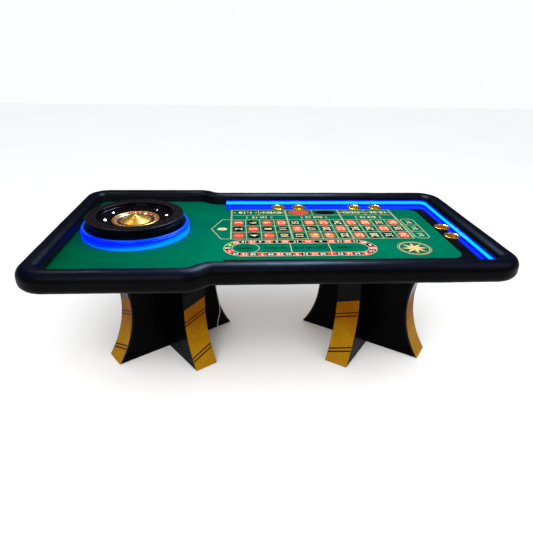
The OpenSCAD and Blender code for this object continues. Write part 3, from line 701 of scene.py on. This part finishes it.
def outside_bets(p):
    """The dozens between bows, and the even-money bets between diamonds, with two ovals in their middle."""
    fine = 0.0022
    bow_x, bow_depth, bow_half, dot = 0.078, 0.010, 0.027, 0.0035
    diamond_x, wide, high = 0.074, 0.008, 0.012
    y = (ROWS[3] + DOZEN_Y) / 2
    for k, words in enumerate(("1st 12", "2nd 12", "3rd 12")):
        x = GRID_X + COL * (4 * k + 2)
        p.text(words, x, y, 0.030, PLAYERS)
        for side in (-1, 1):
            bend = arc(0, 0, 1, -90, 90, 8)
            p.line([(x + side * (bow_x + bow_depth * u), y + bow_half * v) for u, v in bend], fine)
            p.oval(x + side * bow_x, y, dot, dot, "ink_cream", 1, 12)
    y = (DOZEN_Y + OUTSIDE_Y) / 2
    for k, words in enumerate(("1-18", "EVEN", None, None, "ODD", "19-36")):
        x = GRID_X + COL * (2 * k + 1)
        if words is None:
            p.oval(x, y, 0.070, 0.040, "ink_red" if k == 2 else "ink_black", 1, 56)
            continue
        p.text(words, x, y, 0.038, PLAYERS)
        for side in (-1, 1):
            d = x + side * diamond_x
            p.line([(d - wide, y), (d, y + high), (d + wide, y), (d, y - high)], fine, closed=True)


def zero_field(p):
    """The pointed box at the head of the grid, with the zero in an oval."""
    left, right, tip = -0.304, GRID_X - 0.006, (-0.369, 0.052)
    top, bottom = ROWS[3] + 0.004, ROWS[0] + 0.006
    x, y = -0.301, 0.051
    p.line([(right, top), (left, top), tip, (left, bottom), (right, bottom)], 0.0032)
    p.oval(x, y, 0.031, 0.022, "ink_cream", 1)
    p.text("0", x, y, 0.026, FOOT_END, "ink_orange", 3)


def column_bets(p):
    """Three 2-1 boxes in one rounded frame, parted by short bars with a curl at each end."""
    x0, x1, r = 0.889, 0.976, 0.030
    y0, y1 = ROWS[0], ROWS[3] + 0.006
    x = (x0 + x1) / 2
    curl_x, curl_r, bar_half = 0.030, 0.010, 0.020
    left, right, low, high = x0 + r, x1 - r, y0 + r, y1 - r
    outline = []
    for cx, cy, start in ((right, high, 0), (left, high, 90), (left, low, 180), (right, low, 270)):
        outline += arc(cx, cy, r, start, start + 90, 6)
    p.line(outline, 0.0030, closed=True)
    for row in range(3):
        p.text("2-1", x, (ROWS[row] + ROWS[row + 1]) / 2, 0.030, FOOT_END)
    for edge in ROWS[1:3]:
        for side in (-1, 1):
            curl = []
            for i in range(15):
                a = radians(i * 26)
                reach = curl_r * (1 - i / 18)
                curl.append((x + side * (curl_x - reach * cos(a)), edge + reach * sin(a)))
            p.line(curl, 0.0018)
        p.line([(x - bar_half, edge), (x + bar_half, edge)], 0.0020)


TRACK_Y0, TRACK_Y1, TRACK_X0, TRACK_X1 = -0.371, -0.144, -0.284, 0.598
TRACK_BAND = 0.043
TRACK_Y = (TRACK_Y0 + TRACK_Y1) / 2
TRACK_R = (TRACK_Y1 - TRACK_Y0) / 2
TRACK_MID = TRACK_R - TRACK_BAND / 2
SECTOR_X0, SECTOR_X1 = 0.100, 0.326
WIDE_CELLS = (17, 34, 6)  # these three fill the side between the two sector lines


def track_point(s, inset):
    """A point on the racetrack, moved in by inset from its outer edge.

    s is the distance along the middle line, clockwise from the top left.
    """
    xa, xb = TRACK_X0 + TRACK_R, TRACK_X1 - TRACK_R
    straight, bend = xb - xa, pi * TRACK_MID
    s %= 2 * (straight + bend)
    r = TRACK_R - inset
    if s < straight:
        return (xa + s, TRACK_Y + r)
    s -= straight
    if s < bend:
        return on_circle(xb, TRACK_Y, r, pi / 2 - s / TRACK_MID)
    s -= bend
    if s < straight:
        return (xb - s, TRACK_Y - r)
    return on_circle(xa, TRACK_Y, r, -pi / 2 - (s - straight) / TRACK_MID)


def racetrack(p):
    """The wheel's numbers in their order round a band, and the names of the sectors inside it."""
    total = 2 * (TRACK_X1 - TRACK_X0 - 2 * TRACK_R) + tau * TRACK_MID
    wide = (SECTOR_X1 - SECTOR_X0) / len(WIDE_CELLS)
    narrow = (total - len(WIDE_CELLS) * wide) / (POCKETS - len(WIDE_CELLS))
    ruled, gap, steps = 0.0034, 0.002, 6
    s = SECTOR_X0 - (TRACK_X0 + TRACK_R) - 8 * narrow
    for number in WHEEL_ORDER:
        width = wide if number in WIDE_CELLS else narrow
        edge = [track_point(s + width * (0.03 + 0.94 * i / steps), 0.0022) for i in range(steps + 1)]
        edge += [track_point(s + width * (0.97 - 0.94 * i / steps), TRACK_BAND) for i in range(steps + 1)]
        p.shape(edge, "ink_" + number_colour(number), 1)
        x, y = track_point(s + width / 2, TRACK_BAND / 2)
        p.text(str(number), x, y, 0.024, PLAYERS, "ink_white" if number else "ink_cream", 3)
        s += width
    for inset in (0.0, TRACK_BAND + gap):
        p.line([track_point(total * i / 160, inset) for i in range(160)], ruled, closed=True)
    r = TRACK_R - TRACK_BAND - gap
    cap_x = -0.082
    p.line(arc(cap_x - r, TRACK_Y, r, 90, -90, 20), 0.0030)
    for x in (SECTOR_X0, SECTOR_X1):
        p.line([(x, TRACK_Y - r), (x, TRACK_Y + r)], ruled)
    for words, x in (("ZERO", -0.165), ("VOISINS", 0.010), ("ORPHELINS", 0.213), ("TIERS", 0.410)):
        p.text(words, x, TRACK_Y, 0.026, PLAYERS, "ink_black", 1)


def star_rosette(p):
    """A plain eight-pointed star in a double ring."""
    x, y = 0.818, -0.275
    points = 8
    tip, valley = 0.076, 0.031

    def corner(i):
        return on_circle(x, y, valley if i % 2 else tip, pi * i / points)

    for i in range(2 * points):
        p.shape([(x, y), corner(i), corner(i + 1)], "ink_orange" if i % 2 else "ink_cream", 1)
    for r, name in ((0.086, "ink_cream"), (0.096, "ink_orange")):
        p.line(circle(x, y, r, 72), 0.0034, name, closed=True)


def layout_outline():
    """Edge of the cloth, anticlockwise from the wheel end's near corner."""
    inset = -HALF_RAIL - WALL_GAP
    front, back = ([p for p in offset(side(0.02), inset) if p.x < SHELF_X0 - 0.005]
                   for side in (near_side, far_side))
    wall = HALF_PLAYER - RAIL_W - WALL_GAP
    steps = arc_steps((FELT_X1 - FELT_FRONT_R, FELT_Y0 + FELT_FRONT_R), FELT_FRONT_R, -90, 0, 1, 0.01) \
        + arc_steps((FELT_X1 - FELT_BACK_R, FELT_Y1 - FELT_BACK_R), FELT_BACK_R, 0, 90, 1, 0.01)
    turn = [Vector((SHELF_X0, y)) for y in (-wall, FELT_Y0)] + [p for p, _ in steps]
    return front + turn + [Vector((SHELF_X0, y)) for y in (FELT_Y1, wall)] + back


def make_layout():
    edge = layout_outline()
    n = len(edge)
    levels = [(0.0, PLAY_Z - 0.003), (0.0, PLAY_Z - 0.0010), (0.0004, PLAY_Z - 0.0003), (0.0012, PLAY_Z)]
    verts = []
    for inset, z in levels:
        for i, p in enumerate(edge):
            along = (edge[(i + 1) % n] - edge[i - 1]).normalized()
            q = p + Vector((-along.y, along.x)) * inset
            verts.append((q.x, q.y, z))
    faces = grid_faces(len(levels), n, False, True)
    faces += [list(reversed(range(n))), list(range(3 * n, 4 * n))]
    cloth = add_piece("layout_cloth", verts, faces, ["felt"], "table", ["layout_felt"])
    p = Print([m for m in MATS if m.startswith("ink_")])
    number_grid(p)
    outside_bets(p)
    zero_field(p)
    column_bets(p)
    racetrack(p)
    star_rosette(p)
    printed = add_piece("layout_print", p.verts, p.faces, p.slots, "table", (), p.marks, smooth=False)


# ---------- cups ----------
def make_cups():
    outline = [(0.05, 694), (36, 694), (41, 699), (41, 762), (50, 762), (50, 764), (48.8, 765), (43, 765),
               (39.8, 762.5), (39.8, 700.5), (34.5, 695.2), (0.05, 695.2)]
    for i, (x, y) in enumerate(CUPS, 1):
        name = "cup_holder_%d" % i
        lathe(name + "_spun", outline, ["cup_gold"], "table", [name], 0.0010, 96, centre=Vector((x, y, 0)))


# ---------- wheel ----------
def at_wheel(r, across, a, z):
    """A point at radius r and angle a about the wheel's axis, shifted across that radius."""
    x, y = on_circle(WHEEL.x, WHEEL.y, r, a)
    return (x - across * sin(a), y + across * cos(a), z)


def bowl_zone(r, z):
    """The apron inside the ball track, the outer side, or else the rim."""
    if r < 228 and z > 784:
        return 1
    return 2 if z < 871 else 0


def make_bowl():
    outline = [(36, 769), (262, 769), (262, 788), (270, 796), (270, 806), (277, 812), (277, 830),
               (283, 836), (283, 850), (289, 857), (290, 864), (290, 872), (288, 876), (284, 877),
               (230, 877), (227, 876), (226, 873), (226, 866), (230, 862), (230, 857), (224, 853),
               (147, 843.5), (145, 841), (145, 784), (36, 784)]
    lathe("wheel_bowl_turned", outline, ["bowl_lacquer", "apron_lacquer", "bowl_side"], "table",
          ["wheel_bowl"], 0.0022, 256, bowl_zone)


def make_deflectors():
    """Eight chrome diamonds with a raised ridge, turn about along and across the ball's track."""
    verts, faces = [], []
    apron_r, apron_z, apron_rise = 0.147, 0.8435, 9.5 / 77
    middle_r, first_turn = 0.182, 13
    half_long, half_wide = 0.0150, 0.0062
    corners = ((1, 0), (0.06, 0.94), (-0.06, 0.94), (-1, 0), (-0.06, -0.94), (0.06, -0.94))
    rims = ((1.0, 0.0002), (1.0, 0.0016), (0.86, 0.0030), (0.30, 0.0056))  # (size, height over the apron)
    for i in range(8):
        a = radians(first_turn + 45 * i)
        out, across = (half_long, half_wide) if i % 2 == 0 else (half_wide, half_long)
        base = len(verts)
        for size, lift in rims:
            for u, v in corners:
                r = middle_r + u * out * size
                verts.append(at_wheel(r, v * across * size, a, apron_z + (r - apron_r) * apron_rise + lift))
        n = len(corners)
        faces += grid_faces(len(rims), n, False, True, base)
        faces += [[base + n - 1 - k for k in range(n)], [base + n * (len(rims) - 1) + k for k in range(n)]]
    add_piece("ball_deflectors_cut", verts, faces, ["deflector_chrome"], "table",
              ["ball_deflectors"], smooth=False)


RING_R0, RING_R1, RING_Z0, RING_Z1, RING_FOOT = 0.1120, 0.1300, 0.8360, 0.8430, 0.826
RING_RISE = (RING_Z1 - RING_Z0) / (RING_R1 - RING_R0)
RING_SLOTS = ["cell_red", "cell_black", "cell_green", "rotor_gold", "cell_white"]
RING_GOLD = RING_SLOTS.index("rotor_gold")


def ring_height(r):
    return RING_Z0 + (r - RING_R0) * RING_RISE


def number_cells():
    """The ring's section turned round the wheel. Its sloping face takes each cell's colour."""
    section = [(RING_R0, RING_FOOT), (RING_R0, RING_Z0 - 0.0006), (RING_R0 + 0.0005, RING_Z0),
               (RING_R1 - 0.0002, RING_Z1), (RING_R1, RING_Z1 - 0.0003), (RING_R1, RING_FOOT)]
    slope = 2
    steps = 6
    turns = POCKETS * steps
    verts = [at_wheel(r, 0, tau * i / turns, z) for i in range(turns) for r, z in section]
    marks = []
    for i in range(turns):
        number = WHEEL_ORDER[((i + steps // 2) // steps) % POCKETS]
        colour = RING_SLOTS.index("cell_" + number_colour(number))
        marks += [colour if j == slope else RING_GOLD for j in range(len(section))]
    return verts, grid_faces(turns, len(section), True, True), marks


def cell_dividers():
    """Thin gold bars let into the slope between the cells."""
    half, sunk, high = 0.00045, 0.0003, 0.0006
    verts, faces = [], []
    for k in range(POCKETS):
        a = tau * (k + 0.5) / POCKETS
        faces += prism_faces(len(verts), 4)
        verts += [at_wheel(r, t, a, ring_height(r) - sunk + lift) for lift in (0, high)
                  for r, t in ((RING_R0, -half), (RING_R1, -half), (RING_R1, half), (RING_R0, half))]
    return verts, faces, [RING_GOLD] * len(faces)


def cell_numbers():
    """The numbers, first set flat one metre apart, then each laid on the slope of its own cell."""
    squeeze, proud, sunk = 0.62, 0.00035, 0.0004
    flat = Print(RING_SLOTS)
    for k, number in enumerate(WHEEL_ORDER):
        flat.text(str(number), 0, k, 0.0092, 0, "cell_white", 0)
    verts = []
    for x, y, z in flat.verts:
        k = round(y)
        r = (RING_R0 + RING_R1) / 2 + y - k
        lift = proud if z > PLAY_Z else -sunk
        verts.append(at_wheel(r, -x * squeeze, tau * k / POCKETS, ring_height(r) + lift))
    return verts, flat.faces, flat.marks


def make_number_ring():
    """Thirty-seven enamelled cells on the sloping ring, with gold lines between them and white numbers."""
    verts, faces, marks = [], [], []
    for more_verts, more_faces, more_marks in (number_cells(), cell_dividers(), cell_numbers()):
        base = len(verts)
        verts += more_verts
        faces += [[base + i for i in face] for face in more_faces]
        marks += more_marks
    add_piece("number_ring_enamelled", verts, faces, RING_SLOTS, "rotor",
              ["rotor_number_ring"], marks)


def make_frets():
    """The thin walls that part the pockets."""
    half = 0.0005
    profile = [(0.0925, 0.829), (0.1115, 0.829), (0.1115, 0.8346), (0.1105, 0.835), (0.0935, 0.835),
               (0.0925, 0.8346)]
    verts, faces = [], []
    for k in range(POCKETS):
        a = tau * (k + 0.5) / POCKETS
        faces += prism_faces(len(verts), len(profile))
        verts += [at_wheel(r, t, a, z) for t in (-half, half) for r, z in profile]
    add_piece("rotor_frets_formed", verts, faces, ["deflector_chrome"], "rotor",
              ["rotor_frets"], smooth=False)


def make_rotor():
    disc = [(16, 808), (136, 808), (141.5, 812), (141.5, 826), (16, 826)]
    lathe("rotor_disc_turned", disc, ["rotor_wood"], "rotor", ["rotor_disc"])
    trim = [(130, 826), (141.5, 826), (141.5, 840), (141.2, 843), (139, 845.4), (136, 846), (133, 845.6),
            (130.6, 844.6), (130, 843)]
    lathe("rotor_trim_turned", trim, ["rotor_gold"], "rotor", ["rotor_trim_ring"], 0.0006)
    cone = [(16, 826), (92, 826), (92, 835), (90.5, 836.6), (86, 838), (84, 837.4), (82, 838.4), (60, 846.6),
            (57, 848.2), (54, 848.2), (30, 857), (27, 858.6), (24, 858.8), (20, 860.6), (16, 861)]
    lathe("rotor_cone_turned", cone, ["rotor_gold"], "rotor", ["rotor_cone"], 0.0010)
    turret = [(0.05, 861), (18, 861), (18, 863.2), (15.5, 864.6), (12, 866.4), (8, 867.2), (5.6, 869.4),
              (4.3, 872.4), (4.6, 874.6), (6.8, 875.8), (8.6, 878), (9, 880.4), (8.2, 882.6), (6, 884.6),
              (3.4, 885.6), (3.0, 886.4), (4.0, 887.6), (3.6, 889.4), (2, 890.7), (0.05, 891)]
    lathe("rotor_turret_turned", turret, ["rotor_gold"], "rotor", ["rotor_turret"], 0.0008, 64)
    make_frets()


# ---------- ring of light ----------
def make_drum():
    wall = [(312, 769.2), (320.3, 769.2), (320.3, 765.6), (321, 765.6), (321, 810), (319.5, 812), (312, 812)]
    lathe("drum_wall_moulded", wall, ["drum_blue"], "table", ["wheel_light_wall"], 0.0012, 256)
    top = [(279, 814), (317, 814), (317, 820), (315.5, 822), (304, 822), (303, 821.6), (279, 821.6)]
    lathe("drum_top_moulded", top, ["drum_top_blue", "drum_top_dark"], "table", ["wheel_light_top"],
          0.0012, 256, lambda r, z: 1 if r < 303.5 else 0)


# ---------- pedestals ----------
def face_radius(z):
    """How far a fin's hollow end face stands from its pedestal's axis at a height."""
    return WAIST_R + ARC_R - sqrt(ARC_R ** 2 - (z - WAIST_Z) ** 2)


# Height of each maroon line's middle at the left and right edge of a face.
LINE_PAIRS = ((0.291, 0.345), (0.269, 0.322), (0.069, 0.116), (0.051, 0.094))


def line_strip(z_left, z_right, at_face, base):
    """One line across a face, as a flat bar that follows the face's curve. at_face places a point on it."""
    half_fin, half_line, sunk, proud, steps = FIN_W / 2 - 0.0003, 0.0041, -0.001, 0.00035, 14
    verts = []
    for i in range(steps + 1):
        v = -half_fin + 2 * half_fin * i / steps
        z = z_left + (z_right - z_left) * i / steps
        verts += [at_face(v, z + dz, lift) for dz, lift in ((-half_line, sunk), (-half_line, proud),
                                                            (half_line, proud), (half_line, sunk))]
    faces = grid_faces(steps + 1, 4, False, True, base)
    return verts, faces + [[base + k for k in (3, 2, 1, 0)], [base + 4 * steps + k for k in range(4)]]


def make_fin_lines():
    """Pairs of maroon lines inlaid across each gold face, but not on the right pedestal's outer one."""
    for side, label in ((-1, "left"), (1, "right")):
        verts, faces = [], []
        for quarter in range(1 if side > 0 else 0, 4):
            a = radians(-side * (45 - CROSS_TURN) + 90 * quarter)

            def at_face(v, z, lift):
                x, y = on_circle(side * PEDESTAL_X, 0, face_radius(z) + lift, a)
                return (x - v * sin(a), y + v * cos(a), z)

            for z_left, z_right in LINE_PAIRS:
                more_verts, more_faces = line_strip(z_left, z_right, at_face, len(verts))
                verts += more_verts
                faces += more_faces
        add_piece(label + "_pedestal_lines", verts, faces, ["maroon_line"], "table")


# ---------- power lead ----------
# Where the lead hangs and lies before its coil, in millimetres.
LEAD_HANG = [
    (-390, 76, 684), (-390, 76, 660), (-388, 78, 600), (-382, 82, 530), (-374, 87, 450),
    (-363, 93, 370), (-353, 97, 310), (-343, 99, 245), (-336, 100, 195), (-333, 101, 155),
    (-336, 101, 120), (-345, 101, 80), (-351, 101, 45), (-355, 101, 20), (-362, 100, 7),
    (-376, 93, 3), (-394, 81, 3), (-413, 67, 3), (-428, 48, 3), (-436, 25, 3), (-439, 0, 3),
    (-439, -30, 3),
]
COIL_R, COIL_TURNS, COIL_PITCH, COIL_LIFT = 0.025, 3, 0.0053, 0.003
TAIL, TAIL_BEND, TAIL_LEVEL, TAIL_Z = 0.020, 0.015, 0.008, 0.006
PLUG_X, PLUG_Y = 0.006, -0.035


def smooth_path(points, steps):
    """A curve through the points, with so many steps between two of them."""
    out = []
    for i in range(len(points) - 1):
        a, b, c, d = (Vector(points[k]) for k in (max(i - 1, 0), i, i + 1, min(i + 2, len(points) - 1)))
        for k in range(steps):
            t = k / steps
            out.append(0.5 * (2 * b + (c - a) * t + (2 * a - 5 * b + 4 * c - d) * t * t
                              + (3 * b - a - 3 * c + d) * t ** 3))
    return out


def coil_turns(steps=36):
    """The put-away turns, rising as they are wound."""
    for i in range(COIL_TURNS * steps):
        x, y = on_circle(0, 0, COIL_R, -tau * i / steps)
        yield COIL + Vector((x, y, COIL_LIFT + COIL_PITCH * i / steps))


def coil_tail(steps=12):
    """From the top of the coil straight on, down to the floor and round a bend to the plug."""
    top = COIL_LIFT + COIL_PITCH * COIL_TURNS
    total = TAIL + TAIL_BEND * pi / 2
    for i in range(steps + 1):
        s = total * i / steps
        t = min(1.0, max(0.0, (s - TAIL_LEVEL) / (total - TAIL_LEVEL)))
        a = max(0.0, s - TAIL) / TAIL_BEND
        yield COIL + Vector((COIL_R - TAIL_BEND * (1 - cos(a)), -min(s, TAIL) - TAIL_BEND * sin(a),
                             top + (TAIL_Z - top) * t * t * (3 - 2 * t)))
    yield COIL + Vector((PLUG_X, PLUG_Y, TAIL_Z))


def make_lead():
    path = [p / 1000 for p in smooth_path(LEAD_HANG, 3)] + list(coil_turns()) + list(coil_tail())
    curve = bpy.data.curves.new("power_lead_run", "CURVE")
    curve.dimensions = "3D"
    curve.bevel_depth = LEAD_D / 2
    curve.bevel_resolution = 3
    curve.use_fill_caps = True
    spline = curve.splines.new("POLY")
    spline.points.add(len(path) - 1)
    for point, p in zip(spline.points, path):
        point.co = (*p, 1.0)
    spline.use_smooth = True
    curve.materials.append(MATS["lead_grey"])
    lead = bpy.data.objects.new("power_lead_run", curve)
    show(lead)
    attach(lead, "table")
    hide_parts("power_lead", "power_lead_coil")
    length = sum((b - a).length for a, b in zip(path, path[1:]))
    tuple(path[0])


# ---------- CAD nodes that stay ----------
SOFT_EDGED = ("deck_board", "frame_side_beams", "frame_cross_beams", "led_driver", "pedestal_top_plates")


def dress_cad_nodes():
    """Give every CAD node the material of its slot, and soften the edges of the boards and the driver."""
    slots = {part["node"]: part["material_slot"] for part in frame["record"]["subparts"]}
    slots["rotor_number_ring"] = "cell_red"  # replaced by the enamelled ring, and its slot is no one material
    for name, obj in NODES.items():
        obj.data.materials.clear()
        obj.data.materials.append(MATS[slots[name]])
        weld = obj.modifiers.new("weld", "WELD")
        weld.merge_threshold = 0.00001
        if name in SOFT_EDGED:
            edge = obj.modifiers.new("edge", "BEVEL")
            edge.width = 0.0012
            edge.segments = 2
            edge.limit_method = "ANGLE"


def limit_strip_light():
    """Let the lit strip show in the glossy shelf, but not colour the cloth, the rail or the gold cups."""
    unlit = bpy.data.collections.new("unlit_by_strip")
    for obj in bpy.context.scene.objects:
        if obj.name == "rail_upholstery" or obj.name.endswith("_spun"):
            unlit.objects.link(obj)
    for link in unlit.collection_objects:
        link.light_linking.link_state = "EXCLUDE"
    for strip in (NODES["led_diffuser"], NODES["led_channel"]):
        strip.visible_diffuse = False
        strip.light_linking.receiver_collection = unlit


# ---------- stage ----------
def add_lamp(name, place, aim, size, power, colour=(1, 1, 1), sheen_only=False):
    """An area light. One that is sheen_only shows in glossy surfaces and lights nothing else."""
    data = bpy.data.lights.new(name, "AREA")
    data.shape, data.energy, data.color = "RECTANGLE", power, colour
    data.size, data.size_y = size
    lamp = bpy.data.objects.new(name, data)
    lamp.location = place
    lamp.rotation_euler = (Vector(aim) - Vector(place)).to_track_quat("-Z", "Y").to_euler()
    lamp.visible_diffuse = not sheen_only
    show(lamp)


def make_floor():
    half = 14
    mesh = bpy.data.meshes.new("floor")
    corners = [(-half, -half, 0), (half, -half, 0), (half, half, 0), (-half, half, 0)]
    mesh.from_pydata(corners, [], [(0, 1, 2, 3)])
    s = Shader("floor")
    mesh.materials.append(s.done(
        Base_Color=s.ramp(s.noise(s.here, 0.8, 4), [(0.3, (0.95, 0.95, 0.95)), (0.7, (0.98, 0.98, 0.98))]),
        Roughness=0.9,
        Specular_IOR_Level=0.1))
    floor = bpy.data.objects.new("floor", mesh)
    show(floor)


def make_world():
    """A nearly white surround, dimmer where it is mirrored than where it lights."""
    lit, mirrored = 1.0, 0.05
    world = bpy.data.worlds.new("world")
    bpy.context.scene.world = world
    world.use_nodes = True
    tree = world.node_tree
    sky = tree.nodes["Background"]
    sky.inputs[0].default_value = (0.97, 0.985, 1.0, 1)
    ray = tree.nodes.new("ShaderNodeLightPath")
    level = tree.nodes.new("ShaderNodeMapRange")
    level.inputs["To Min"].default_value = lit
    level.inputs["To Max"].default_value = mirrored
    tree.links.new(ray.outputs["Is Glossy Ray"], level.inputs["Value"])
    tree.links.new(level.outputs[0], sky.inputs[1])


def make_stage():
    make_floor()
    make_world()
    add_lamp("soft_left", (-1.5, -3.8, 3.6), (0, 0, 0.4), (2.5, 2.5), 125)
    add_lamp("soft_right", (2.8, -1.5, 3.4), (0, 0, 0.4), (2.5, 2.5), 60)
    add_lamp("ceiling_strip", (0.30, 0.9, 3.0), (0.15, -0.4, 0.8), (1.0, 1.6), 400, (0.42, 0.68, 1.0),
             sheen_only=True)
    for k, place in enumerate(((-1.7, 0.6, 2.6), (-0.5, 1.5, 2.9), (0.9, 0.9, 2.9))):
        add_lamp("spot_%d" % k, place, (-0.3, 0, 0.8), (0.14, 0.14), 22, (1.0, 0.95, 0.86), sheen_only=True)
    bpy.context.scene.view_settings.view_transform = "Standard"
    bpy.context.scene.view_settings.look = "None"


dress_cad_nodes()
make_lead()
make_rail()
make_layout()
make_cups()
make_drum()
make_bowl()
make_deflectors()
make_number_ring()
make_rotor()
make_fin_lines()
limit_strip_light()
make_stage()
